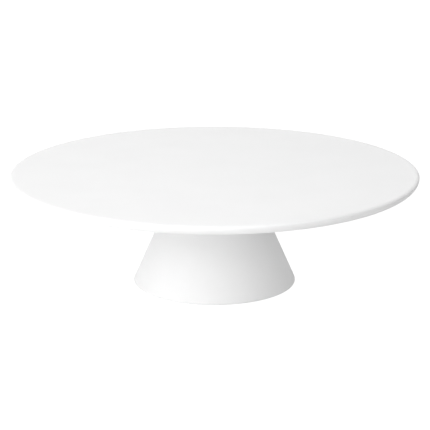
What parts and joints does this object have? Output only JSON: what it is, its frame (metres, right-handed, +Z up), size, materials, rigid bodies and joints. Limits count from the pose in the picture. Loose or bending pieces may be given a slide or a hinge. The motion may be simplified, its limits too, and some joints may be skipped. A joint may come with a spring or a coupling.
{
  "type": "cake stand",
  "caption": "Footed cake stand: flat round plate with a rounded rim on a hollow cone pedestal, held by a hand screw from below.",
  "frame": {"origin": "centre of the foot ring's bottom face, on the stand's axis", "axes": "+Z up along the stand's axis; the stand is turned about +Z, so +X and +Y have no special side"},
  "size_m": [0.3, 0.3, 0.0855],
  "materials": {
    "white_melamine": "satin",
    "clear_silicone": "matte",
    "brass": "machined",
    "stainless_steel": "satin",
    "grip_plastic": "fine texture"
  },
  "bodies": {
    "pedestal": {"pedestal": "white_melamine", "seat_gasket": "clear_silicone", "foot_ring": "clear_silicone"},
    "plate": {"serving_plate": "white_melamine", "plate_insert": "brass"},
    "washers": {"cushion_washer": "clear_silicone", "load_washer": "stainless_steel"},
    "knob": {"clamp_knob": "grip_plastic", "clamp_stud": "stainless_steel"}
  },
  "joints": [
    {"name": "plate_lift", "type": "slide", "parent": "pedestal", "child": "plate", "axis": [0, 0, 1], "range_m": [0, 0.06]},
    {"name": "knob_travel", "type": "slide", "parent": "pedestal", "child": "washers", "axis": [0, 0, 1], "range_m": [-0.008, 0]},
    {"name": "knob_turn", "type": "hinge", "parent": "washers", "child": "knob", "pos_m": [0, 0, 0.0575], "axis": [0, 0, 1], "range_deg": [-2880, 0]}
  ],
  "couplings": [
    {"joint": "knob_travel", "follows": "knob_turn", "m_per_rad": 0.00015915}
  ]
}
